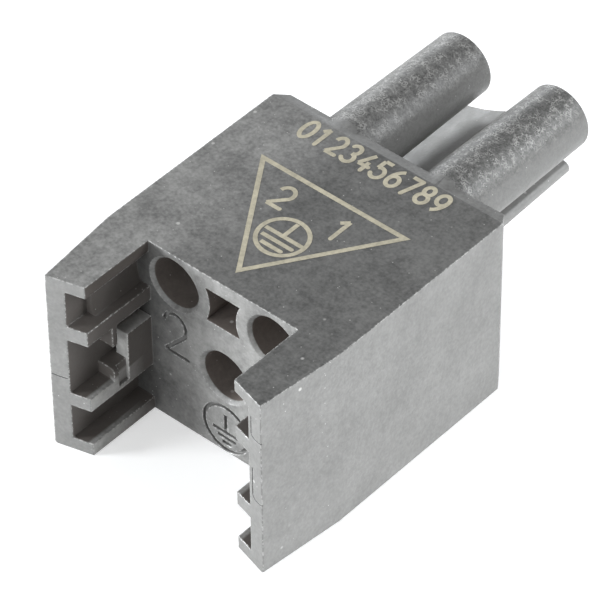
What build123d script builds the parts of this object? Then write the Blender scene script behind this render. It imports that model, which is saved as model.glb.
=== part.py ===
"""Contact insert of a push-pull power connector, for two power contacts and earth.

The insert is one moulding of glass-filled plastic. Its wire end has two cheeks with ribs
and a latch seat each, beside the recess where the wires come in. Three stepped cavities run
through the block and through the three tubes of its mating end, and a roof-shaped partition
keeps the two power tubes apart from the earth tube below them.

Frame: millimetres, +Z up. The origin lies on the bottom face, midway across the wall that
the contacts are pushed through. +Y points to the mating end, and the cheeks reach to -Y.
"""
from build123d import *

import os
from math import atan2, cos, sin

# Block: outer size of the body behind the contact wall
body_width = 23.7
body_height = 18.0
block_length = 20.5

# Lead-in at the block's mating end: how far it reaches back, and how much it takes off
lead_length = 1.2
lead_side = 0.85
lead_top = 0.4

# Cheeks: the recess between them, how far their outer sides lean in, and their front ends
recess_width = 15.3
cheek_lean = 0.85
cheek_length_outside = 8.05
cheek_length_inside = 7.15
pocket_depth = 1.75
bottom_edge_radius = 0.25

# Ribs of each cheek: the floor rib and the lower rib are placed from the bottom face, and the
# upper rib and the roof rib from the power contacts, whose top pocket lies between them
floor_rib_thickness = 1.2
lower_rib_bottom = 4.8
lower_rib_thickness = 1.3
upper_rib_thickness = 1.4
top_pocket_below = 1.7
top_pocket_above = 1.95

# Latch seat between the two middle ribs: a step on the lower rib, and a hook and the gap above
# the stop placed from the upper rib
latch_step_depth = 4.4
latch_step_height = 1.2
latch_step_radius = 0.4
hook_length = 0.5
hook_drop = 2.0
stop_depth = 2.75
stop_gap = 1.8
stop_slot_width = 0.45
relief_depth = 0.3
relief_drop = 0.9

# Contact positions: two power contacts above, earth midway below
contact_pitch = 10.1
earth_drop = 6.8

# Contact cavity, from its wire end to its mating end
rear_bore_radius = 2.3
rear_bore_length = 14.0
mouth_lead = 0.3
front_bore_radius = 2.0
pin_entry_radius = 1.4
pin_entry_wall = 1.2
pin_entry_lead = 0.5

# Tubes of the mating end
tube_root_radius = 3.1
tube_draft = 0.7
tube_rim_radius = 0.15
mating_length = 14.6

# Guide beside each power contact: round trough in the cheek's top pocket
guide_radius = 3.88
guide_length = 5.3

# Core between the power cavities: its lower and upper face are placed from the contacts' axes
core_width = 3.6
core_below = 1.6
core_above = 1.7
core_wall = 1.4
core_depth = 12.0

# Partition: its ridge lies below the power contacts' axes, and the earth tube sinks into it
partition_thickness = 1.15
partition_below_power = 2.75
partition_ridge_width = 1.35
ridge_seat = 0.55
partition_drop = 1.8
partition_hollow = 0.24
partition_root_reach = 6.65
partition_end_reach = 6.15

# Places that follow from the sizes above
tip = block_length + mating_length
power_height = body_height - tube_root_radius
earth_height = power_height - earth_drop
tube_start = block_length - lead_length
partition_top = power_height - partition_below_power
ridge_under = earth_height + tube_root_radius - ridge_seat
cheek_front = body_width / 2 - cheek_lean
cheek_wall_face = recess_width / 2 + pocket_depth
lower_rib_top = lower_rib_bottom + lower_rib_thickness
upper_rib_top = power_height - top_pocket_below
upper_rib_bottom = upper_rib_top - upper_rib_thickness
roof_rib_bottom = power_height + top_pocket_above
overrun = 1.0
front_clear = cheek_length_outside + overrun
edge_tolerance = 0.01
power_contacts = [(-contact_pitch / 2, power_height), (contact_pitch / 2, power_height)]
contacts = power_contacts + [(0, earth_height)]


def across(y):
    """Plane across the insert at this distance from the contact wall, drawn in X and Z."""
    return Plane.XZ.offset(-y)


def plan_corners():
    """Right half of the insert seen from above, from the block's middle round to the wall."""
    return [
        (0, tube_start),
        (body_width / 2, tube_start),
        (body_width / 2, 0),
        (cheek_front, -cheek_length_outside),
        (recess_width / 2, -cheek_length_inside),
        (recess_width / 2, 0),
        (0, 0),
    ]


def on_outer_side(edge):
    """True for an edge whose two ends both lie on the same outer side of the insert."""
    ends = [(edge @ 0).X, (edge @ 1).X]
    return min(ends) > cheek_wall_face or max(ends) < -cheek_wall_face


def pocket(depth_from, depth_to, bottom, top):
    """Cut both cheeks between two depths in front of the wall and two heights."""
    with BuildSketch(across(-depth_from)) as opening:
        with Locations((0, (bottom + top) / 2)):
            Rectangle(2 * cheek_wall_face, top - bottom)
    extrude(opening.sketch, amount=-(depth_from - depth_to), mode=Mode.SUBTRACT)


def partition_section(plane, reach):
    """Section of the partition: a flat ridge, hollow flanks under the tubes, round outer edges."""
    half_thickness = partition_thickness / 2
    ridge = partition_ridge_width / 2
    eave = (reach - half_thickness, partition_top - half_thickness - partition_drop)
    lean = atan2(partition_drop, eave[0] - ridge)
    side_step = half_thickness * sin(lean)
    rise_step = half_thickness * cos(lean)
    top_edge = (eave[0] + side_step, eave[1] + rise_step)
    under_edge = (eave[0] - side_step, eave[1] - rise_step)
    round_edge = (eave[0] + rise_step, eave[1] - side_step)
    with BuildSketch(plane) as section:
        with BuildLine():
            Line((0, partition_top), (ridge, partition_top))
            SagittaArc((ridge, partition_top), top_edge, -partition_hollow)
            ThreePointArc(top_edge, round_edge, under_edge)
            SagittaArc(under_edge, (ridge, ridge_under), partition_hollow)
            Line((ridge, ridge_under), (0, ridge_under))
            mirror(about=Plane.YZ)
        make_face()
    return section.sketch


# Contact cavity: one stepped hole, turned about its own axis
with BuildPart() as cavity:
    with BuildSketch(Plane.XY):
        with BuildLine():
            Polyline(
                (0, 0),
                (rear_bore_radius + mouth_lead, 0),
                (rear_bore_radius, mouth_lead),
                (rear_bore_radius, rear_bore_length),
                (front_bore_radius, rear_bore_length),
                (front_bore_radius, tip - pin_entry_wall),
                (pin_entry_radius, tip - pin_entry_wall),
                (pin_entry_radius, tip - pin_entry_lead),
                (pin_entry_radius + pin_entry_lead + overrun, tip + overrun),
                (0, tip + overrun),
                close=True,
            )
        make_face()
    revolve(axis=Axis.Y)

with BuildPart() as contact_insert:
    # Block and cheeks, as one plan outline raised to the full height
    with BuildSketch(Plane.XY):
        with BuildLine():
            Polyline(*plan_corners())
            mirror(about=Plane.YZ)
        make_face()
    extrude(amount=body_height)

    # Lead-in that lets the block find the housing
    with BuildSketch(across(tube_start)):
        with Locations((0, body_height / 2)):
            Rectangle(body_width, body_height)
    with BuildSketch(across(block_length)):
        with Locations((0, body_height / 2)):
            Rectangle(body_width - 2 * lead_side, body_height - 2 * lead_top)
    loft()
    bottom_edges = contact_insert.edges().group_by(Axis.Z)[0]
    fillet(bottom_edges.filter_by(on_outer_side), radius=bottom_edge_radius)

    # Pockets between the ribs of the cheeks
    pocket(front_clear, 0, floor_rib_thickness, lower_rib_bottom)
    pocket(front_clear, guide_length, upper_rib_top, roof_rib_bottom)
    pocket(front_clear, latch_step_depth, lower_rib_top, upper_rib_bottom)

    # Round troughs that lead a contact from the top pocket into its cavity
    with BuildSketch(across(-guide_length)):
        with Locations(*power_contacts):
            Circle(guide_radius)
        with Locations((0, (upper_rib_top + roof_rib_bottom) / 2)):
            Rectangle(2 * cheek_wall_face, roof_rib_bottom - upper_rib_top, mode=Mode.INTERSECT)
    extrude(amount=-guide_length, mode=Mode.SUBTRACT)

    # Latch seat: a step below, a hook above, and a stop with a slot behind it
    latch_floor = lower_rib_top + latch_step_height
    stop_top = upper_rib_bottom - stop_gap
    hook_back = latch_step_depth - hook_length
    relief_bottom = lower_rib_top - relief_drop
    pocket(latch_step_depth, hook_back, latch_floor, upper_rib_bottom - hook_drop)
    pocket(hook_back, stop_depth, latch_floor, upper_rib_bottom)
    pocket(stop_depth, 0, stop_top, upper_rib_bottom)
    with BuildSketch(across(-stop_depth)):
        with Locations((0, (latch_floor + stop_top) / 2)):
            with GridLocations(2 * cheek_wall_face - stop_slot_width, 1, 2, 1):
                Rectangle(stop_slot_width, stop_top - latch_floor)
    extrude(amount=-stop_depth, mode=Mode.SUBTRACT)
    with BuildSketch(across(-hook_back)):
        with Locations((0, (relief_bottom + latch_floor) / 2)):
            Rectangle(recess_width + 2 * relief_depth, latch_floor - relief_bottom)
    extrude(amount=-(hook_back - stop_depth), mode=Mode.SUBTRACT)
    step_edges = contact_insert.edges().filter_by(Axis.Y).filter_by_position(
        Axis.Z, latch_floor - edge_tolerance, latch_floor + edge_tolerance
    )
    inner_step_edges = step_edges.filter_by_position(
        Axis.Y, -latch_step_depth, -hook_back
    ).filter_by(lambda edge: abs(edge.center().X) < recess_width / 2 + relief_depth / 2)
    fillet(inner_step_edges, radius=latch_step_radius)

    # Tubes of the mating end, tapered towards their rims
    with BuildSketch(across(tube_start)):
        with Locations(*contacts):
            Circle(tube_root_radius)
    extrude(amount=-(tip - tube_start), taper=tube_draft)
    rims = contact_insert.edges().filter_by(GeomType.CIRCLE).group_by(Axis.Y)[-1]
    fillet(rims, radius=tube_rim_radius)

    # Partition: its ridge rests on the earth tube, and its flanks pass below the power tubes
    root_section = partition_section(across(tube_start), partition_root_reach)
    end_section = partition_section(across(tip), partition_end_reach)
    loft([root_section, end_section])

    # Cavities, with the core that keeps the wall between them even
    for across_x, height in contacts:
        with Locations((across_x, 0, height)):
            add(cavity.part, mode=Mode.SUBTRACT)
    with BuildSketch(across(0)):
        with Locations((0, power_height + (core_above - core_below) / 2)):
            Rectangle(core_width, core_below + core_above)
        with Locations(*power_contacts):
            Circle(rear_bore_radius + core_wall, mode=Mode.SUBTRACT)
    extrude(amount=-core_depth, mode=Mode.SUBTRACT)

contact_insert.part.label = "contact_insert"

os.makedirs("parts", exist_ok=True)
export_step(contact_insert.part, "parts/contact_insert.step")
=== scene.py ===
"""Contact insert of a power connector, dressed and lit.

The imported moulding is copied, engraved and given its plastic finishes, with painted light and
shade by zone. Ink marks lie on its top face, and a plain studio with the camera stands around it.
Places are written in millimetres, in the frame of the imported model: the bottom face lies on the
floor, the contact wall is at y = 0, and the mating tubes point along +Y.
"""
from collections import namedtuple
from math import cos, radians, sin

import bmesh
import bpy
from bpy.props import FloatProperty, FloatVectorProperty, PointerProperty
from mathutils import Matrix, Vector
from mathutils.geometry import area_tri, delaunay_2d_cdt


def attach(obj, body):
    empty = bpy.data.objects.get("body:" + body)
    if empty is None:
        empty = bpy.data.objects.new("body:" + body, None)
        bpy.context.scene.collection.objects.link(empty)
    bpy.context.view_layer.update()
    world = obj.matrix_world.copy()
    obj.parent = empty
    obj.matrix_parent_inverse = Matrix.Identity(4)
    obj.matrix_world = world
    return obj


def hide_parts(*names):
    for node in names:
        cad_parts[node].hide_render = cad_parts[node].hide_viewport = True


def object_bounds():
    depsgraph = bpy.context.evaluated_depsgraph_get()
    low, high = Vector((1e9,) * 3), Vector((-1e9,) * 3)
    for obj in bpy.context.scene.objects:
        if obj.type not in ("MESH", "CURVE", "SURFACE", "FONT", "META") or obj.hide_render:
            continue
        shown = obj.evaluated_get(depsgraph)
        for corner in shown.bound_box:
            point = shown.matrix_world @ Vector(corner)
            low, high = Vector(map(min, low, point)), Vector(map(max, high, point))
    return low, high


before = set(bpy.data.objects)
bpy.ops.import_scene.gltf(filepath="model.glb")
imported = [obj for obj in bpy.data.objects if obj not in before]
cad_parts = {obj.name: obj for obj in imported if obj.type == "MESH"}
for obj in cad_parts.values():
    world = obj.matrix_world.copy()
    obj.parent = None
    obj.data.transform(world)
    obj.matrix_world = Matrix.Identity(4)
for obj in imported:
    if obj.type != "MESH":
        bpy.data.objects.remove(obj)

bl_info = {
    "name": "Contact insert",
    "version": (1, 0, 0),
    "blender": (4, 5, 0),
    "location": "View3D > Sidebar > Contact insert",
    "description": "Engraves, marks, finishes and lights the contact insert of a power connector",
    "category": "Object",
}

MM = 0.001
NODE = "contact_insert"
BODY = "root"
cad_low, cad_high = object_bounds()
block_top = cad_high.z / MM
tubes_end = cad_high.y / MM

# Places and sizes are in millimetres, down to the shade of the recesses. An axis is its distance
# from the middle and its height.
CONTACT_AXES = [(-5.05, 14.9), (5.05, 14.9), (0.0, 8.1)]

# Marks printed on the top face, seen from above. A ring is its centre and radius, a stem and a
# bar are the two ends of a stroke, and a digit has its lower left corner and its size.
TRIANGLE_TIPS = [(-7.7, 13.25), (-0.1, 1.65), (7.63, 13.25)]
PRINTED_RING = ((-0.03, 7.04), 2.12)
PRINTED_STEM = [(-0.06, 8.9), (-0.06, 7.13)]
PRINTED_BARS = [
    ((-1.86, 7.13), (1.79, 7.13)),
    ((-1.6, 6.38), (1.45, 6.38)),
    ((-1.08, 5.66), (0.95, 5.66)),
]
PRINTED_DIGITS = [("2", (-3.78, 9.3), (1.42, 2.45)), ("1", (2.25, 9.3), (1.35, 2.4))]
ROW_DIGITS = "0123456789"
ROW_CORNER = (-7.3, 16.85)
ROW_DIGIT_SIZE = (1.0, 2.1)
ROW_PITCH = 1.5
INK_SUNK = 0.01

# Marks engraved in the contact wall, seen from the wire end
WALL_RING = ((0.0, 2.55), 2.28)
WALL_STEM = [(0.0, 3.98), (0.0, 2.1)]
WALL_BARS = [((-1.4, 2.1), (1.4, 2.1)), ((-0.9, 1.5), (0.9, 1.5)), ((-0.4, 0.95), (0.4, 0.95))]
WALL_DIGITS = [("2", (-6.3, 7.5), (2.45, 4.2)), ("1", (3.9, 7.5), (2.45, 4.2))]
ENGRAVING_OVERRUN = 0.5

# Front end of the right cheek, seen from above, from its inner to its outer side. The mould
# lines on both ends are given as distance from the middle and height.
CHEEK_END = ((7.65, -7.15), (11.0, -8.05))
RIGHT_MOULD_LINES = [
    [(9.75, 15.9), (9.73, 14.15), (9.86, 13.95), (10.15, 13.86), (10.7, 13.9), (11.1, 14.05)],
    [(9.81, 10.6), (9.79, 7.7), (9.92, 7.43), (10.2, 7.3), (10.7, 7.35), (11.1, 7.5)],
]
LEFT_MOULD_LINES = [[(9.5, 7.6), (10.3, 7.56), (11.1, 7.64)]]
MOULD_LINE_OVERRUN = 0.2

# Limits of the zones that differ in finish and in painted light and shade, some a little outside
# the surface that they take in
TOLERANCE = 0.01
WIDE_TOLERANCE = 0.02
FACING = 0.5
BLOCK_LENGTH = 20.5
TUBE_RADIUS = 3.15
CAVITY_RADIUS = 2.35
CAVITY_DEPTH = 33.0
MOUTH_LEAD = 0.3
CORE_DEPTH = 12.1
CORE_HALF_WIDTH, CORE_HALF_HEIGHT = 1.85, 1.75
GROOVES_FRONT_OF = -7.0
GROOVE_DEPTHS = (0.002, 0.15)
RECESS_BEHIND_END = 0.2
CHEEK_FACE = 7.65
POCKET_FACE = 9.4
STOP_FRONT = -2.75
STOP_MARGIN = 0.1
STOP_TOP = (9.0, 11.0)
TROUGH_FRONT = -5.3
TROUGH_LOW, TROUGH_HIGH = 13.21, 16.84

# Where the painted shade of the recesses sets in and where it is full: behind the cheeks' inner
# faces, with height, and towards the contact wall
SHADE_DEPTHS = (0.32, 0.55)
SHADE_HEIGHTS = (6.1, 6.6)
SHADE_TO_WALL = (-4.5, -1.0)

# Patterns in the plastic, as Blender's texture scale, and for flecks also the share without one
CLOUDS, MOTTLE, GRAINS, FINE_GRAINS = 200.0, 1300.0, 3400.0, 7000.0
FLECKS = [(2300.0, 0.82), (700.0, 0.88)]
WISPS = 4400.0
INK_PATCHES = 900.0
PAPER = 60.0

# How the patterns are used. A range runs from where something sets in to where it is full.
BLEND = (0.38, 0.62)
LARGEST_SWING = 1.5
DARKEST, LIGHTEST = 0.22, 1.78
FLECK_RIM = (0.14, 0.07)
FLECK_FADE = 0.06
WISP_LINE = (0.12, 0.04)
WISP_PATCHES = (0.44, 0.6)
WISP_PATCH_SCALE = 0.35
USUAL_NOISE = (0.3, 0.7)
PATCHY_GLOSS = 0.07
INK_WEAR = (0.36, 0.64)
INK_TONES = (0.78, 1.16)
INK_ROUGHNESS = (0.55, 0.75)
INK_BUMP = 0.4
PAPER_SHADE = 0.995
PAPER_ROUGHNESS = (0.88, 0.92)
PAPER_GLOSS = 0.2

# Rubbed edges, lightened as wear and painted highlight: how well the rounded normal agrees with
# the face's where the lightening and polish set in and are full, how open the solid is to its
# inside there, how the grains break the lightening up, and how many edge widths that look inside
# reaches
EDGE_TURN = (0.99, 0.86)
POLISH_TURN = (0.99, 0.9)
POLISH = 0.3
OUTER_EDGES = (0.95, 0.7)
EDGE_GRAINS = (0.46, 0.6)
EDGE_SHARES = (0.15, 1.0)
EDGE_REACH = 1.5
BEVEL_SAMPLES, INSIDE_SAMPLES = 6, 8

# Relief in millimetres, and how much of it the plastic's grains and mottle make
PLASTIC_RELIEF, INK_RELIEF = 0.03, 0.02
GRAINS_SHARE, MOTTLE_SHARE = 0.7, 0.5
WELD_DISTANCE = 0.0005

# Finish of a zone. The weights are those of clouds, mottle, grains and fine grains. Edges is how
# much their wear and painted highlight show, and wisps how much the curled lines, partly painted
# glints, do. The first field is the zone's painted light and shade, a factor on its colour. It,
# contrast, grain and roughness are a number, or a pair for upright faces and for faces that look
# up, and slope is how far up a face looks where it leaves the first of a pair and where it reaches
# the second.
EVEN, FINE, CLOUDY = (0.3, 0.3, 0.3, 0.1), (0.05, 0.15, 0.4, 0.4), (0.5, 0.25, 0.15, 0.1)
Finish = namedtuple(
    "Finish",
    "lightness contrast grain roughness weights edges slope wisps",
    defaults=(1.0, (0.7, 1.1), 0.5, 0.5, EVEN, 1.0, (0.15, 0.85), 0.0),
)
# Painted light and shade by zone: lighter recesses, ledges, partition and bore mouths, a slightly
# darker wall, and darker roof, mould-line grooves and tube crests
FINISHES = {
    "plastic_block": Finish(edges=0.55),
    "plastic_wall": Finish(lightness=0.97, contrast=1.7, grain=0.6, weights=CLOUDY),
    "plastic_top": Finish(contrast=1.6, roughness=0.6, edges=0.85),
    "plastic_tubes": Finish(
        lightness=(1.0, 0.76), contrast=(0.5, 1.9), grain=(0.25, 0.8), roughness=(0.35, 0.5),
        weights=FINE, edges=0.5, slope=(0.4, 0.9), wisps=0.36,
    ),
    "plastic_partition": Finish(
        lightness=1.4, contrast=(0.4, 0.5), grain=(0.2, 0.25), roughness=0.45, edges=0.6
    ),
    "plastic_recess": Finish(lightness=(2.3, 1.6), edges=1.2),
    "plastic_recess_trough": Finish(lightness=(2.3, 1.6), edges=0.0),
    "plastic_recess_roof": Finish(lightness=0.4, roughness=0.65, edges=0.6),
    "plastic_ledges": Finish(lightness=2.6, contrast=0.7, edges=1.25),
    "plastic_grooves": Finish(lightness=0.35, contrast=0.5, grain=0.2, roughness=0.6, edges=0.0),
    "plastic_cavities": Finish(lightness=2.0, contrast=0.5, roughness=0.75, edges=0.0),
    "plastic_mouths": Finish(lightness=1.25, contrast=1.8, roughness=0.4, weights=CLOUDY),
}

# Painted light and shade across some zones: from a place and its lightness factor to those of one
# further right
PAINTED_SHADING_ACROSS = {
    "plastic_top": [((-7.0, 1.2), (-1.5, 0.68))],
    "plastic_wall": [((-7.4, 0.55), (-3.5, 1.1))],
    "plastic_tubes": [((-5.0, 1.1), (7.0, 0.8))],
    "plastic_partition": [((-1.0, 0.95), (2.0, 1.35)), ((3.4, 1.0), (4.6, 0.6))],
}

# Soft lights round the object: azimuth and elevation in degrees, width and height in metres
LIT_POINT = Vector((0.0, 0.008, 0.009))
LIGHT_DISTANCE = 0.35
LIGHT_COLOUR = (0.95, 0.98, 1.0)
LIGHTS = {
    "right_light": (90, 0.5, 0.12, 0.016),
    "front_left_light": (315, 8, 0.1, 0.1),
    "front_light": (0, 24, 0.16, 0.16),
    "back_left_light": (225, 12, 0.16, 0.1),
    "back_right_light": (135, 35, 0.16, 0.16),
}
FLOOR_HALF_SIZE = 1.5
FLOOR_CELLS = 24
FLOOR_GAP = 0.01 * MM

# Camera, fitted to the photograph's edges: its direction from the object and its roll in
# degrees, the point that it looks at and its distance from that in millimetres, and its lens
CAMERA_DIRECTION = (41.847, 43.380)
CAMERA_ROLL = -0.812
CAMERA_TARGET = Vector((-0.039, 7.099, 9.0))
CAMERA_DISTANCE = 346.521
SENSOR_WIDTH = 36.0
LENS = 258.93
LENS_SHIFT = (0.0370, 0.0352)
CLIP_START = 0.01


def arc(centre, radii, start, end, count=20):
    """Points along part of an ellipse, between two angles in degrees."""
    angles = [radians(start + (end - start) * step / count) for step in range(count + 1)]
    return [(centre[0] + radii[0] * cos(a), centre[1] + radii[1] * sin(a)) for a in angles]


def loop(centre, radii, count=48):
    """Points once round an ellipse, without the closing one."""
    return arc(centre, radii, 0, 360, count)[:-1]


# Pen paths of the digits, in a box of this width and a height of 1, each with whether it closes
DIGIT_BOX_WIDTH = 0.6
DIGITS = {
    "0": [(loop((0.3, 0.5), (0.3, 0.5)), True)],
    "1": [([(0.02, 0.77), (0.28, 1.0), (0.28, 0.0)], False)],
    "2": [(arc((0.29, 0.7), (0.28, 0.3), 172, -32) + [(0.03, 0.0), (0.6, 0.0)], False)],
    "3": [
        (
            arc((0.27, 0.76), (0.26, 0.24), 150, -90) + arc((0.27, 0.26), (0.31, 0.26), 90, -150),
            False,
        )
    ],
    "4": [([(0.42, 1.0), (0.0, 0.3), (0.6, 0.3)], False), ([(0.42, 0.55), (0.42, 0.0)], False)],
    "5": [
        (
            [(0.54, 1.0), (0.1, 1.0), (0.06, 0.56)] + arc((0.26, 0.31), (0.32, 0.31), 120, -150),
            False,
        )
    ],
    "6": [
        (loop((0.3, 0.3), (0.29, 0.3)), True),
        (arc((0.62, 0.3), (0.61, 0.72), 108, 180), False),
    ],
    "7": [([(0.0, 1.0), (0.58, 1.0), (0.2, 0.0)], False)],
    "8": [(loop((0.3, 0.76), (0.24, 0.24)), True), (loop((0.3, 0.27), (0.3, 0.27)), True)],
    "9": [
        (loop((0.3, 0.7), (0.29, 0.3)), True),
        (arc((-0.02, 0.7), (0.61, 0.72), -72, 0), False),
    ],
}
PEN_TIP_POINTS = 16
RING_POINTS = 72


def pen_cells(points, width, closed=False, corner_limit=40):
    """Flat cells that a round pen of this width covers on its way through the points."""
    path = [Vector(point) for point in points]
    legs = len(path) if closed else len(path) - 1
    half = width / 2

    def tip_at(point):
        return [Vector(p) for p in loop(point, (half, half), PEN_TIP_POINTS)]

    def side_of(leg):
        way = (path[(leg + 1) % len(path)] - path[leg % len(path)]).normalized()
        return Vector((-way.y, way.x))

    def edge_offset(leg, other):
        """Offset where this leg meets the other: a mitre, or square where the corner is sharp."""
        if not closed and not 0 <= other < legs:
            return side_of(leg) * half
        mitre = side_of(leg) + side_of(other)
        if side_of(leg).dot(side_of(other)) < cos(radians(corner_limit)):
            return side_of(leg) * half
        return mitre * (half / mitre.dot(side_of(leg)))

    cells = []
    for leg in range(legs):
        start, end = path[leg], path[(leg + 1) % len(path)]
        before, after = edge_offset(leg, leg - 1), edge_offset(leg, leg + 1)
        cells.append([start - before, end - after, end + after, start + before])
        square = abs(before.length - half) < 1e-9
        if square:
            cells.append(tip_at(start))
    if not closed:
        cells.append(tip_at(path[-1]))
    return cells


def digit_cells(digit, corner, size, width):
    """Cells of one digit whose pen path fills a box of this size above this corner."""
    cells = []
    for points, closed in DIGITS[digit]:
        placed = [
            (corner[0] + x / DIGIT_BOX_WIDTH * size[0], corner[1] + y * size[1]) for x, y in points
        ]
        cells += pen_cells(placed, width, closed)
    return cells


def triangle_cells(tips, width):
    """Cells of a closed line whose outer corners are these tips."""
    outer = [Vector(tip) for tip in tips]
    middle = (outer[0] + outer[1] + outer[2]) / 3
    inner = []
    for here, before, after in zip(outer, outer[-1:] + outer[:-1], outer[1:] + outer[:1]):
        inward = ((before - here).normalized() + (after - here).normalized()).normalized()
        half_angle = (before - here).angle(after - here) / 2
        inner.append(here + inward * (width / sin(half_angle)))
    return [
        [outer[i], outer[i - 1], inner[i - 1], inner[i]]
        if (outer[i - 1] - outer[i]).cross(middle - outer[i]) > 0
        else [inner[i], inner[i - 1], outer[i - 1], outer[i]]
        for i in range(3)
    ]


def area_of(cell):
    """Area of a flat cell."""
    return sum(cell[i - 1].cross(cell[i]) for i in range(len(cell))) / 2


def flat_union(cells, snap_digits=3, margin=1e-5, slack=1.01):
    """Points and triangles of the area that the cells cover together."""
    corners, faces = {}, []
    for cell in cells:
        snapped = [(round(x, snap_digits), round(y, snap_digits)) for x, y in cell]
        faces.append([corners.setdefault(corner, len(corners)) for corner in snapped])
    points = [Vector(corner) for corner in corners]
    flat, _, triangles, _, _, origins = delaunay_2d_cdt(points, [], faces, 1, margin)
    covered = [triangle for triangle, origin in zip(triangles, origins) if origin]
    area = sum(area_tri(*(flat[i] for i in triangle)) for triangle in covered)
    if area > slack * sum(area_of(cell) for cell in cells):
        raise RuntimeError("The cells' union covers more than the cells do")
    return flat, covered


def plates(name, shapes, low, high, place):
    """Mesh of one plate for each shape, which is a list of cells, between two heights."""
    bm = bmesh.new()
    for cells in shapes:
        flat, triangles = flat_union(cells)
        under = [bm.verts.new(place(p.x, p.y, low)) for p in flat]
        above = [bm.verts.new(place(p.x, p.y, high)) for p in flat]
        sides = {(triangle[i - 1], triangle[i]) for triangle in triangles for i in range(3)}
        for triangle in triangles:
            bm.faces.new([above[i] for i in triangle])
            bm.faces.new([under[i] for i in reversed(triangle)])
        for start, end in sorted(sides):
            if (end, start) not in sides:
                bm.faces.new((under[start], under[end], above[end], above[start]))
    bmesh.ops.delete(bm, geom=[v for v in bm.verts if not v.link_faces], context="VERTS")
    bmesh.ops.recalc_face_normals(bm, faces=bm.faces)
    mesh = bpy.data.meshes.new(name)
    bm.to_mesh(mesh)
    bm.free()
    return mesh


def sign_cells(ring, stem, bars, width):
    """Cells of the earth sign: a ring around a stem and three bars."""
    centre, radius = ring
    cells = pen_cells(loop(centre, (radius, radius), RING_POINTS), width, closed=True)
    for line in (stem, *bars):
        cells += pen_cells(line, width)
    return cells


def on_top(x, y, height):
    """Point above the block's top face, from places in millimetres."""
    return Vector((x, y, block_top + height)) * MM


def on_wall(x, z, depth):
    """Point behind the contact wall's face, from places in millimetres."""
    return Vector((x, depth, z)) * MM


def cheek_end_run():
    """Way along the right cheek's front end, seen from above, and the way into the cheek."""
    (near_x, near_y), (far_x, far_y) = CHEEK_END
    run = Vector((far_x - near_x, far_y - near_y))
    return run, Vector((-run.y, run.x)).normalized()


def behind_cheek_end(x, y):
    """How far a place, seen from above, lies behind the front end of its cheek."""
    _, inward = cheek_end_run()
    return (Vector((abs(x), y)) - Vector(CHEEK_END[0])).dot(inward)


def on_cheek_end(side):
    """Maker of points behind the front end of the cheek on this side, 1 right and -1 left."""
    near_x, near_y = CHEEK_END[0]
    run, inward = cheek_end_run()

    def place(x, z, depth):
        y = near_y + (x - near_x) * run.y / run.x
        return Vector((side * (x + inward.x * depth), y + inward.y * depth, z)) * MM

    return place


def add_piece(name, mesh):
    """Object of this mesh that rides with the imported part."""
    piece = bpy.data.objects.new(name, mesh)
    bpy.context.scene.collection.objects.link(piece)
    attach(piece, BODY)
    return piece


def moulding():
    """The dressed moulding, or an error where it hasn't been made yet."""
    if "moulding" not in bpy.data.objects:
        raise RuntimeError("Make the moulding first")
    return bpy.data.objects["moulding"]


def bake(piece):
    """Replace a piece's mesh by the result of its modifiers."""
    bpy.context.view_layer.update()
    evaluated = piece.evaluated_get(bpy.context.evaluated_depsgraph_get())
    result = bpy.data.meshes.new_from_object(evaluated)
    piece.modifiers.clear()
    piece.data = result


def cut(piece, cutter_mesh):
    """Cut a solid out of a piece, or raise an error where that changes nothing."""
    cutter = bpy.data.objects.new("cutter", cutter_mesh)
    bpy.context.scene.collection.objects.link(cutter)
    cutting = piece.modifiers.new("cut", "BOOLEAN")
    cutting.operation = "DIFFERENCE"
    cutting.solver = "EXACT"
    cutting.object = cutter
    before = len(piece.data.polygons)
    bake(piece)
    bpy.data.objects.remove(cutter)
    if len(piece.data.polygons) <= before:
        raise RuntimeError("The cut left no trace on " + piece.name)


def shade(piece, corner=28):
    """Shade a piece smooth, crisp where it turns more than this angle, and true on flat faces."""
    piece.data.shade_smooth()
    piece.data.set_sharp_from_angle(angle=radians(corner))
    weighting = piece.modifiers.new("weighting", "WEIGHTED_NORMAL")
    weighting.weight = 100
    weighting.keep_sharp = True
    bake(piece)


def in_cavity(x, y, z):
    """True for a place inside a contact cavity or the core between the upper two."""
    in_core = (
        y < CORE_DEPTH
        and abs(x) < CORE_HALF_WIDTH
        and abs(z - CONTACT_AXES[0][1]) < CORE_HALF_HEIGHT
    )
    return TOLERANCE < y < CAVITY_DEPTH and (from_axes(x, z) < CAVITY_RADIUS or in_core)


def from_axes(x, z):
    """How far a place lies from the nearest contact's axis."""
    return min(Vector((x - axis_x, z - axis_z)).length for axis_x, axis_z in CONTACT_AXES)


def recess_zone(face):
    """Name of the finish, with its painted light and shade, of a face on the cheeks' inner sides.
    """
    x, y, z = face.center / MM
    faces_front, faces_up = face.normal.y < -FACING, face.normal.z > FACING
    on_stop = faces_front or faces_up and STOP_TOP[0] < z < STOP_TOP[1]
    if on_stop and y > STOP_FRONT - STOP_MARGIN:
        return "plastic_ledges"
    if z > TROUGH_HIGH + WIDE_TOLERANCE:
        return "plastic_recess_roof"
    in_trough = y > TROUGH_FRONT - TOLERANCE and TROUGH_LOW < z < TROUGH_HIGH
    if in_trough and abs(x) > CHEEK_FACE + TOLERANCE:
        return "plastic_recess_trough"
    return "plastic_recess"


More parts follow.
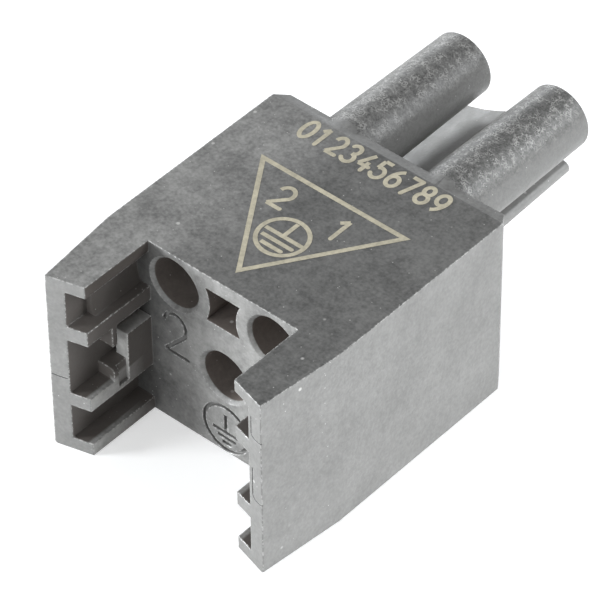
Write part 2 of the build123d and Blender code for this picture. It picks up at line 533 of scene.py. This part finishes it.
def zone(face):
    """Name of the finish, with its painted light and shade, of a face of the moulding."""
    x, y, z = face.center / MM
    if in_cavity(x, y, z):
        return "plastic_cavities"
    if abs(y) < TOLERANCE:
        return "plastic_wall"
    if y < GROOVES_FRONT_OF and GROOVE_DEPTHS[0] < behind_cheek_end(x, y) < GROOVE_DEPTHS[1]:
        return "plastic_grooves"
    if TOLERANCE < y < MOUTH_LEAD - TOLERANCE and from_axes(x, z) < CAVITY_RADIUS + MOUTH_LEAD:
        return "plastic_mouths"
    if BLOCK_LENGTH + WIDE_TOLERANCE < y < tubes_end - TOLERANCE:
        return "plastic_tubes" if from_axes(x, z) < TUBE_RADIUS else "plastic_partition"
    if z > block_top - TOLERANCE:
        return "plastic_top"
    between_cheeks = y < -TOLERANCE and z > TOLERANCE and abs(x) < POCKET_FACE + WIDE_TOLERANCE
    if between_cheeks and behind_cheek_end(x, y) > RECESS_BEHIND_END:
        return recess_zone(face)
    return "plastic_block"


class Wiring:
    """Adds nodes to a material's tree, and links or sets their inputs by name."""

    def __init__(self, material):
        """Take the nodes of this material, with the shader that it starts with."""
        material.use_nodes = True
        self.tree = material.node_tree
        self.shader = self.tree.nodes["Principled BSDF"]

    def add(self, kind, inputs=(), **settings):
        """New node of this kind with these settings, whose inputs are given by name or place."""
        made = self.tree.nodes.new(kind)
        for name, value in settings.items():
            setattr(made, name, value)
        for name, value in dict(inputs).items():
            self.feed(made, name, value)
        return made

    def feed(self, node, name, value):
        """Link a socket to a node's input, or set the input to a value."""
        if isinstance(value, bpy.types.NodeSocket):
            self.tree.links.new(value, node.inputs[name])
        else:
            node.inputs[name].default_value = value

    def combined(self, operation, one, other):
        """Result of a sum, product or the like of two values."""
        return self.add("ShaderNodeMath", {0: one, 1: other}, operation=operation).outputs[0]

    def sum_of(self, weighted):
        """Weighted sum of values."""
        total, *others = [self.combined("MULTIPLY", value, weight) for value, weight in weighted]
        for other in others:
            total = self.combined("ADD", total, other)
        return total

    def size_of(self, value):
        """The value without its sign."""
        return self.combined("ABSOLUTE", value, 0.0)

    def ranged(self, value, low, high, to_low=0.0, to_high=1.0):
        """The value carried from one range to another, kept within it."""
        ends = {"From Min": low, "From Max": high, "To Min": to_low, "To Max": to_high}
        made = self.add("ShaderNodeMapRange", {"Value": value, **ends}, clamp=True)
        return made.outputs["Result"]

    def parts(self, vector):
        """The three parts of a place, direction or colour."""
        return self.add("ShaderNodeSeparateXYZ", {0: vector}).outputs

    def noise(self, place, scale, detail):
        """Noise at this scale."""
        inputs = {"Vector": place, "Scale": scale, "Detail": detail}
        return self.add("ShaderNodeTexNoise", inputs).outputs["Fac"]

    def flecks(self, place, scale, share):
        """Small round specks, in the cells of a pattern whose own number is above this share."""
        cells = self.add("ShaderNodeTexVoronoi", {"Vector": place, "Scale": scale}).outputs
        specks = self.ranged(cells["Distance"], *FLECK_RIM)
        shown = self.ranged(self.parts(cells["Color"])[0], share, share + FLECK_FADE)
        return self.combined("MULTIPLY", specks, shown)

    def wisps(self, place, scale):
        """Short curled lines, where one soft pattern is at its middle and another is high."""
        away = self.size_of(self.combined("SUBTRACT", self.noise(place, scale, 0.0), 0.5))
        shown = self.ranged(self.noise(place, WISP_PATCH_SCALE * scale, 1.0), *WISP_PATCHES)
        return self.combined("MULTIPLY", self.ranged(away, *WISP_LINE), shown)

    def dimmed(self, colour, factor):
        """The colour made darker or lighter by a factor."""
        inputs = {0: colour, "Scale": factor}
        return self.add("ShaderNodeVectorMath", inputs, operation="SCALE").outputs["Vector"]

    def mixed(self, factor, one, other):
        """Colour between two others. The places are those of the node's colour sockets."""
        inputs = {0: factor, 6: one, 7: other}
        return self.add("ShaderNodeMix", inputs, data_type="RGBA").outputs[2]

    def bumped(self, height, strength, distance, **normal):
        """Bump the shader's normal by this height."""
        inputs = {"Height": height, "Strength": strength, "Distance": distance}
        bump = self.add("ShaderNodeBump", {**inputs, **normal})
        self.feed(self.shader, "Normal", bump.outputs["Normal"])


def tone(colour, factor=1.0):
    """The colour made darker or lighter by a factor, with full alpha."""
    return (*(min(1.0, channel * factor) for channel in colour), 1.0)


def painted_recess_shade(wiring, place):
    """How far the painted shade colour shows: painted shade deep in the pockets, high up and near
    the wall.
    """
    across, along, height = wiring.parts(place)[:3]
    depths = [(CHEEK_FACE + depth) * MM for depth in SHADE_DEPTHS]
    deep = wiring.ranged(wiring.size_of(across), *depths)
    high = wiring.ranged(height, *(limit * MM for limit in SHADE_HEIGHTS))
    near_wall = wiring.ranged(along, *(limit * MM for limit in SHADE_TO_WALL))
    return wiring.combined("MAXIMUM", wiring.combined("MAXIMUM", deep, high), near_wall)


def thin_inside(wiring, edge_width):
    """Where the solid is thin under its surface, as it is along outer edges."""
    reach = {"Distance": EDGE_REACH * edge_width}
    occlusion = wiring.add(
        "ShaderNodeAmbientOcclusion", reach, samples=INSIDE_SAMPLES, inside=True, only_local=True
    )
    return wiring.ranged(occlusion.outputs["AO"], *OUTER_EDGES)


def plastic(name, settings, finish):
    """Glass-filled plastic: clouded and grained, with light flecks, outer edges lightened as wear
    and painted highlight, and painted light and shade by zone and in recesses.
    """
    material = bpy.data.materials.new(name)
    wiring = Wiring(material)
    place = wiring.add("ShaderNodeTexCoord").outputs["Object"]
    normal = wiring.add("ShaderNodeNewGeometry").outputs["Normal"]

    def by_slope(value):
        """A pair, from upright faces to faces that look up, or a number for them all."""
        if not isinstance(value, tuple):
            return value
        upward = wiring.ranged(wiring.parts(normal)[2], *finish.slope)
        return wiring.ranged(upward, 0.0, 1.0, *value)

    # Body: patterns about its colour, painted light and shade by zone and across it, and painted
    # shade in recesses
    clouds = wiring.noise(place, CLOUDS, detail=3.0)
    scales = (MOTTLE, GRAINS, FINE_GRAINS)
    mottle, grains, fine = (wiring.noise(place, scale, detail=2.0) for scale in scales)
    mingled = wiring.sum_of(zip((clouds, mottle, grains, fine), finish.weights))
    blend = wiring.ranged(mingled, *BLEND, -0.5, 0.5)
    swing = wiring.combined("MULTIPLY", blend, by_slope(finish.contrast))
    # The cavities take the painted shade colour as their base: painted shade in the bores
    base = settings.painted_shade_colour if name == "plastic_cavities" else settings.colour
    lighter = wiring.ranged(swing, -LARGEST_SWING, LARGEST_SWING)
    body = wiring.mixed(lighter, tone(base, DARKEST), tone(base, LIGHTEST))
    body = wiring.dimmed(body, by_slope(finish.lightness))
    # Painted light and shade across the zone, from left to right
    for (left, at_left), (right, at_right) in PAINTED_SHADING_ACROSS.get(name, []):
        across = wiring.parts(place)[0]
        body = wiring.dimmed(body, wiring.ranged(across, left * MM, right * MM, at_left, at_right))
    # Painted shade in the recesses: mixed towards the painted shade colour deep in the pockets,
    # high up and near the wall
    if name.startswith("plastic_recess"):
        shown = wiring.combined("MULTIPLY", painted_recess_shade(wiring, place), settings.painted_recess_shade)
        body = wiring.mixed(shown, body, tone(settings.painted_shade_colour))

    # Gloss, which is patchy
    patchy = wiring.ranged(mottle, *USUAL_NOISE, -PATCHY_GLOSS, PATCHY_GLOSS)
    roughness = wiring.combined("ADD", by_slope(finish.roughness), patchy)

    # Outer edges: lightened, as wear and painted highlight, and polished where the rounded normal
    # leaves the face's, and lightened only where the solid is thin inside
    bevel = wiring.add("ShaderNodeBevel", {"Radius": settings.edge_width}, samples=BEVEL_SAMPLES)
    rounded = bevel.outputs["Normal"]
    if finish.edges:
        both = {0: rounded, 1: normal}
        agreement = wiring.add("ShaderNodeVectorMath", both, operation="DOT_PRODUCT")
        turned = agreement.outputs["Value"]
        edge = wiring.ranged(turned, *EDGE_TURN, 0.0, settings.edge_wear_and_highlight * finish.edges)
        outer = wiring.combined("MULTIPLY", edge, thin_inside(wiring, settings.edge_width))
        dots = wiring.ranged(grains, *EDGE_GRAINS, *EDGE_SHARES)
        # Where the edges take the colour of wear and painted highlight
        worn = wiring.combined("MULTIPLY", outer, dots)
        body = wiring.mixed(worn, body, tone(settings.edge_wear_and_highlight_colour))
        polish = wiring.ranged(turned, *POLISH_TURN, 0.0, POLISH)
        roughness = wiring.combined("SUBTRACT", roughness, polish)

    # Flecks everywhere, and wisps on the crests of the tubes: curled fibres that are partly
    # painted glints
    specks = wiring.combined("MAXIMUM", *(wiring.flecks(place, *pattern) for pattern in FLECKS))
    fleck = wiring.combined("MULTIPLY", specks, settings.fleck_light)
    body = wiring.mixed(fleck, body, tone(settings.fleck_colour))
    if finish.wisps:
        crest_fibres_and_glint = by_slope((0.0, finish.wisps))
        curls = wiring.combined("MULTIPLY", wiring.wisps(place, WISPS), crest_fibres_and_glint)
        body = wiring.mixed(curls, body, tone(settings.fleck_colour))

    wiring.feed(wiring.shader, "Base Color", body)
    wiring.feed(wiring.shader, "Roughness", roughness)
    wiring.feed(wiring.shader, "Specular IOR Level", settings.gloss)
    heights = wiring.sum_of([(grains, GRAINS_SHARE), (mottle, MOTTLE_SHARE)])
    wiring.bumped(heights, by_slope(finish.grain), PLASTIC_RELIEF * MM, Normal=rounded)
    return material


def ink(settings):
    """Dull pale ink that the grain of the plastic breaks up."""
    material = bpy.data.materials.new("ink")
    wiring = Wiring(material)
    place = wiring.add("ShaderNodeTexCoord").outputs["Object"]
    patches = wiring.noise(place, INK_PATCHES, detail=3.0)
    grains = wiring.noise(place, GRAINS, detail=3.0)
    wear = wiring.ranged(wiring.sum_of([(patches, 0.5), (grains, 0.5)]), *INK_WEAR)
    worn, fresh = (tone(settings.ink_colour, factor) for factor in INK_TONES)
    roughness = wiring.ranged(grains, *USUAL_NOISE, *INK_ROUGHNESS)
    wiring.feed(wiring.shader, "Base Color", wiring.mixed(wear, worn, fresh))
    wiring.feed(wiring.shader, "Roughness", roughness)
    wiring.bumped(grains, INK_BUMP, INK_RELIEF * MM)
    return material


def floor_finish(settings):
    """Pale matt floor, lifted to white where it is seen directly and nothing shades it."""
    material = bpy.data.materials.new("floor")
    wiring = Wiring(material)
    place = wiring.add("ShaderNodeTexCoord").outputs["Object"]
    paper = wiring.noise(place, PAPER, detail=2.0)
    shaded, clean = (tone(settings.floor_colour, factor) for factor in (PAPER_SHADE, 1.0))
    roughness = wiring.ranged(paper, *USUAL_NOISE, *PAPER_ROUGHNESS)
    wiring.feed(wiring.shader, "Base Color", wiring.mixed(paper, shaded, clean))
    wiring.feed(wiring.shader, "Roughness", roughness)
    wiring.feed(wiring.shader, "Specular IOR Level", PAPER_GLOSS)
    rays = wiring.add("ShaderNodeLightPath").outputs
    kinds = ("Is Camera Ray", "Is Glossy Ray", "Is Transmission Ray")
    lift = wiring.sum_of((rays[kind], settings.floor_lift) for kind in kinds)
    glow = wiring.add("ShaderNodeEmission", {"Color": (1, 1, 1, 1), "Strength": lift})
    both = wiring.add("ShaderNodeAddShader", {0: wiring.shader.outputs[0], 1: glow.outputs[0]})
    output = wiring.tree.nodes["Material Output"]
    wiring.tree.links.new(both.outputs[0], output.inputs["Surface"])
    return material


class PlasticSettings(bpy.types.PropertyGroup):
    colour: FloatVectorProperty(
        name="Colour", description="Colour of the plastic",
        default=(0.17, 0.168, 0.163), subtype="COLOR", min=0, max=1,
    )
    # Painted shade deep in the recesses, and the base of the cavities' painted shade
    painted_shade_colour: FloatVectorProperty(
        name="Recess colour", description="Colour of the plastic deep in recesses",
        default=(0.08, 0.069, 0.062), subtype="COLOR", min=0, max=1,
    )
    # How much of the painted shade shows in the recesses
    painted_recess_shade: FloatProperty(
        name="Recess shade", description="How much of the recess colour shows",
        default=0.9, min=0, max=1, subtype="FACTOR",
    )
    gloss: FloatProperty(
        name="Gloss", description="How strongly the plastic reflects",
        default=0.38, min=0, max=1, subtype="FACTOR",
    )
    # The outer edges' lightening: wear and painted highlight
    edge_wear_and_highlight_colour: FloatVectorProperty(
        name="Edge colour", description="Colour of the rubbed edges",
        default=(0.78, 0.77, 0.75), subtype="COLOR", min=0, max=1,
    )
    # Also the reach of the edges' wear and painted highlight
    edge_width: FloatProperty(
        name="Edge width", description="How far the rubbed edges reach",
        default=0.2 * MM, min=0, unit="LENGTH", precision=5,
    )
    # How much the edges' wear and painted highlight show
    edge_wear_and_highlight: FloatProperty(
        name="Edge light", description="How much of the edge colour shows",
        default=0.8, min=0, max=1, subtype="FACTOR",
    )
    fleck_colour: FloatVectorProperty(
        name="Fleck colour", description="Colour of the small light flecks",
        default=(0.62, 0.61, 0.59), subtype="COLOR", min=0, max=1,
    )
    fleck_light: FloatProperty(
        name="Fleck light", description="How much of the fleck colour shows",
        default=0.6, min=0, max=1, subtype="FACTOR",
    )


class EngravingSettings(bpy.types.PropertyGroup):
    stroke_width: FloatProperty(
        name="Stroke width", description="Width of the engraved strokes",
        default=0.34 * MM, min=0.05 * MM, unit="LENGTH", precision=5,
    )
    depth: FloatProperty(
        name="Depth", description="Depth of the engraved strokes",
        default=0.3 * MM, min=0.01 * MM, unit="LENGTH", precision=5,
    )
    line_width: FloatProperty(
        name="Mould line width", description="Width of the mould lines",
        default=0.09 * MM, min=0.02 * MM, unit="LENGTH", precision=5,
    )
    line_depth: FloatProperty(
        name="Mould line depth", description="Depth of the mould lines",
        default=0.09 * MM, min=0.01 * MM, unit="LENGTH", precision=5,
    )


class PrintSettings(bpy.types.PropertyGroup):
    line_width: FloatProperty(
        name="Line width", description="Width of the triangle's line",
        default=0.41 * MM, min=0.05 * MM, unit="LENGTH", precision=5,
    )
    pen_width: FloatProperty(
        name="Pen width", description="Width of the digits' strokes",
        default=0.37 * MM, min=0.05 * MM, unit="LENGTH", precision=5,
    )
    thickness: FloatProperty(
        name="Thickness", description="Thickness of the ink",
        default=0.015 * MM, min=0.001 * MM, unit="LENGTH", precision=6,
    )
    ink_colour: FloatVectorProperty(
        name="Ink colour", description="Colour of the printed marks",
        default=(0.47, 0.43, 0.325), subtype="COLOR", min=0, max=1,
    )


class StudioSettings(bpy.types.PropertyGroup):
    floor_colour: FloatVectorProperty(
        name="Floor colour", description="Colour of the floor",
        default=(0.86, 0.86, 0.86), subtype="COLOR", min=0, max=1,
    )
    floor_lift: FloatProperty(
        name="Floor lift", description="White added to the floor where it is seen directly",
        default=0.4, min=0, max=1,
    )
    right_light: FloatProperty(
        name="Right light", description="Power of the low soft light on the right",
        default=1.4, min=0, unit="POWER",
    )
    front_left_light: FloatProperty(
        name="Front left light", description="Power of the low soft light in front on the left",
        default=2.05, min=0, unit="POWER",
    )
    front_light: FloatProperty(
        name="Front light", description="Power of the soft light in front",
        default=0.5, min=0, unit="POWER",
    )
    back_left_light: FloatProperty(
        name="Back left light", description="Power of the low soft light behind on the left",
        default=0.45, min=0, unit="POWER",
    )
    back_right_light: FloatProperty(
        name="Back right light", description="Power of the soft light behind on the right",
        default=0.75, min=0, unit="POWER",
    )
    room_light: FloatProperty(
        name="Room light", description="Strength of the even light from all round",
        default=0.3, min=0,
    )


SETTINGS = {
    "insert_plastic": PlasticSettings,
    "insert_engraving": EngravingSettings,
    "insert_print": PrintSettings,
    "insert_studio": StudioSettings,
}


class CONTACT_INSERT_OT_moulding(bpy.types.Operator):
    """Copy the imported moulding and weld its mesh, ready to be engraved"""

    bl_idname = "contact_insert.moulding"
    bl_label = "Moulding"

    def execute(self, context):
        bm = bmesh.new()
        bm.from_mesh(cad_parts[NODE].data)
        bmesh.ops.remove_doubles(bm, verts=bm.verts, dist=WELD_DISTANCE * MM)
        mesh = bpy.data.meshes.new("moulding")
        bm.to_mesh(mesh)
        bm.free()
        for old_shading in ("custom_normal", "sharp_face"):
            if old_shading in mesh.attributes:
                mesh.attributes.remove(mesh.attributes[old_shading])
        mesh.materials.clear()
        piece = add_piece("moulding", mesh)
        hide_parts(NODE)
        return {"FINISHED"}


class CONTACT_INSERT_OT_engravings(bpy.types.Operator):
    """Cut the contact digits and the earth sign into the contact wall"""

    bl_idname = "contact_insert.engravings"
    bl_label = "Engravings"

    def execute(self, context):
        settings = context.scene.insert_engraving
        width, depth = settings.stroke_width / MM, settings.depth / MM
        shapes = [sign_cells(WALL_RING, WALL_STEM, WALL_BARS, width)]
        shapes += [digit_cells(digit, corner, size, width) for digit, corner, size in WALL_DIGITS]
        cut(moulding(), plates("engravings", shapes, -ENGRAVING_OVERRUN, depth, on_wall))
        return {"FINISHED"}


class CONTACT_INSERT_OT_mould_lines(bpy.types.Operator):
    """Score the fine lines that the mould's inserts leave on the front ends of the cheeks"""

    bl_idname = "contact_insert.mould_lines"
    bl_label = "Mould lines"

    def execute(self, context):
        settings = context.scene.insert_engraving
        width, depth = settings.line_width / MM, settings.line_depth / MM
        for side, lines in ((1, RIGHT_MOULD_LINES), (-1, LEFT_MOULD_LINES)):
            shapes = [pen_cells(line, width) for line in lines]
            place = on_cheek_end(side)
            cut(moulding(), plates("mould_lines", shapes, -MOULD_LINE_OVERRUN, depth, place))
        return {"FINISHED"}


class CONTACT_INSERT_OT_finish(bpy.types.Operator):
    """Give each zone of the moulding its plastic finish with its painted light and shade, and
    shade the whole smooth
    """

    bl_idname = "contact_insert.finish"
    bl_label = "Plastic finish"

    def execute(self, context):
        settings = context.scene.insert_plastic
        mesh = moulding().data
        mesh.materials.clear()
        for name, finish in FINISHES.items():
            mesh.materials.append(plastic(name, settings, finish))
        slots = {name: slot for slot, name in enumerate(FINISHES)}
        for face in mesh.polygons:
            face.material_index = slots[zone(face)]
        shade(moulding())
        return {"FINISHED"}


class CONTACT_INSERT_OT_printed_marks(bpy.types.Operator):
    """Print the triangle with its digits and earth sign, and a row of digits, on the top face"""

    bl_idname = "contact_insert.printed_marks"
    bl_label = "Printed marks"

    def execute(self, context):
        settings = context.scene.insert_print
        line, pen = settings.line_width / MM, settings.pen_width / MM
        sign = [triangle_cells(TRIANGLE_TIPS, line)]
        sign += [sign_cells(PRINTED_RING, PRINTED_STEM, PRINTED_BARS, pen)]
        sign += [digit_cells(digit, corner, size, pen) for digit, corner, size in PRINTED_DIGITS]
        left, bottom = ROW_CORNER
        row = [
            digit_cells(digit, (left + place * ROW_PITCH, bottom), ROW_DIGIT_SIZE, pen)
            for place, digit in enumerate(ROW_DIGITS)
        ]
        finish = ink(settings)
        for name, shapes in (("printed_sign", sign), ("printed_row", row)):
            mesh = plates(name, shapes, -INK_SUNK, settings.thickness / MM, on_top)
            mesh.materials.append(finish)
            add_piece(name, mesh)
        return {"FINISHED"}


class CONTACT_INSERT_OT_studio(bpy.types.Operator):
    """Set up the floor, the soft lights, the room and the camera"""

    bl_idname = "contact_insert.studio"
    bl_label = "Studio"

    def execute(self, context):
        settings = context.scene.insert_studio
        bm = bmesh.new()
        bmesh.ops.create_grid(
            bm, x_segments=FLOOR_CELLS, y_segments=FLOOR_CELLS, size=FLOOR_HALF_SIZE
        )
        bmesh.ops.translate(bm, verts=bm.verts, vec=(0, 0, -FLOOR_GAP))
        mesh = bpy.data.meshes.new("floor")
        bm.to_mesh(mesh)
        bm.free()
        mesh.materials.append(floor_finish(settings))
        floor = bpy.data.objects.new("floor", mesh)
        context.scene.collection.objects.link(floor)
        for name, way_and_size in LIGHTS.items():
            add_light(name, getattr(settings, name), *way_and_size)
        add_room(context.scene, settings.room_light)
        context.scene.camera = add_camera()
        context.scene.view_settings.view_transform = "Standard"
        return {"FINISHED"}


def direction(azimuth, elevation):
    """Direction to a place round the object. Azimuth 0 is in front of it, 90 on its right."""
    turn, rise = radians(azimuth), radians(elevation)
    return Vector((sin(turn) * cos(rise), -cos(turn) * cos(rise), sin(rise)))


def add_light(name, power, azimuth, elevation, width, height):
    """Flat soft light round the object, facing it, that the camera doesn't see."""
    light = bpy.data.lights.new(name, "AREA")
    light.energy = power
    light.color = LIGHT_COLOUR
    light.shape = "RECTANGLE"
    light.size, light.size_y = width, height
    lamp = bpy.data.objects.new(name, light)
    towards = direction(azimuth, elevation)
    lamp.location = LIT_POINT + towards * LIGHT_DISTANCE
    lamp.rotation_euler = towards.to_track_quat("Z", "Y").to_euler()
    lamp.visible_camera = False
    bpy.context.scene.collection.objects.link(lamp)


def add_room(scene, strength):
    """Even pale light from all round."""
    world = bpy.data.worlds.new("room")
    world.use_nodes = True
    background = world.node_tree.nodes["Background"]
    background.inputs["Color"].default_value = (1, 1, 1, 1)
    background.inputs["Strength"].default_value = strength
    scene.world = world


def add_camera():
    """Camera at the photograph's angle, distance and framing."""
    roll = radians(CAMERA_ROLL)
    back = direction(*CAMERA_DIRECTION)
    level_right = (-back).cross(Vector((0, 0, 1))).normalized()
    level_up = level_right.cross(-back)
    right = level_right * cos(roll) + level_up * sin(roll)
    up = level_up * cos(roll) - level_right * sin(roll)
    turn = Matrix((right, up, back)).transposed().to_4x4()
    camera = bpy.data.objects.new("camera", bpy.data.cameras.new("camera"))
    place = CAMERA_TARGET * MM + back * CAMERA_DISTANCE * MM
    camera.matrix_world = Matrix.Translation(place) @ turn
    camera.data.sensor_width = SENSOR_WIDTH
    camera.data.lens = LENS
    camera.data.shift_x, camera.data.shift_y = LENS_SHIFT
    camera.data.clip_start = CLIP_START
    bpy.context.scene.collection.objects.link(camera)
    return camera


class VIEW3D_PT_contact_insert(bpy.types.Panel):
    """Settings of the contact insert, and the steps that make it"""

    bl_idname = "VIEW3D_PT_contact_insert"
    bl_label = "Contact insert"
    bl_space_type = "VIEW_3D"
    bl_region_type = "UI"
    bl_category = "Contact insert"

    def draw(self, context):
        for name, group in SETTINGS.items():
            box = self.layout.box()
            for prop in group.__annotations__:
                box.prop(getattr(context.scene, name), prop)
        for operator in OPERATORS:
            self.layout.operator(operator.bl_idname)


OPERATORS = [
    CONTACT_INSERT_OT_moulding,
    CONTACT_INSERT_OT_engravings,
    CONTACT_INSERT_OT_mould_lines,
    CONTACT_INSERT_OT_finish,
    CONTACT_INSERT_OT_printed_marks,
    CONTACT_INSERT_OT_studio,
]
CLASSES = [*SETTINGS.values(), *OPERATORS, VIEW3D_PT_contact_insert]


def register():
    """Register the classes and hang the settings on the scene."""
    for cls in CLASSES:
        bpy.utils.register_class(cls)
    for name, group in SETTINGS.items():
        setattr(bpy.types.Scene, name, PointerProperty(type=group))


def unregister():
    """Take the settings off the scene and unregister the classes."""
    for name in SETTINGS:
        delattr(bpy.types.Scene, name)
    for cls in reversed(CLASSES):
        bpy.utils.unregister_class(cls)


def main():
    """Register, and run every step in order."""
    register()
    bpy.ops.contact_insert.moulding()
    bpy.ops.contact_insert.engravings()
    bpy.ops.contact_insert.mould_lines()
    bpy.ops.contact_insert.finish()
    bpy.ops.contact_insert.printed_marks()
    bpy.ops.contact_insert.studio()


if __name__ == "__main__":
    main()
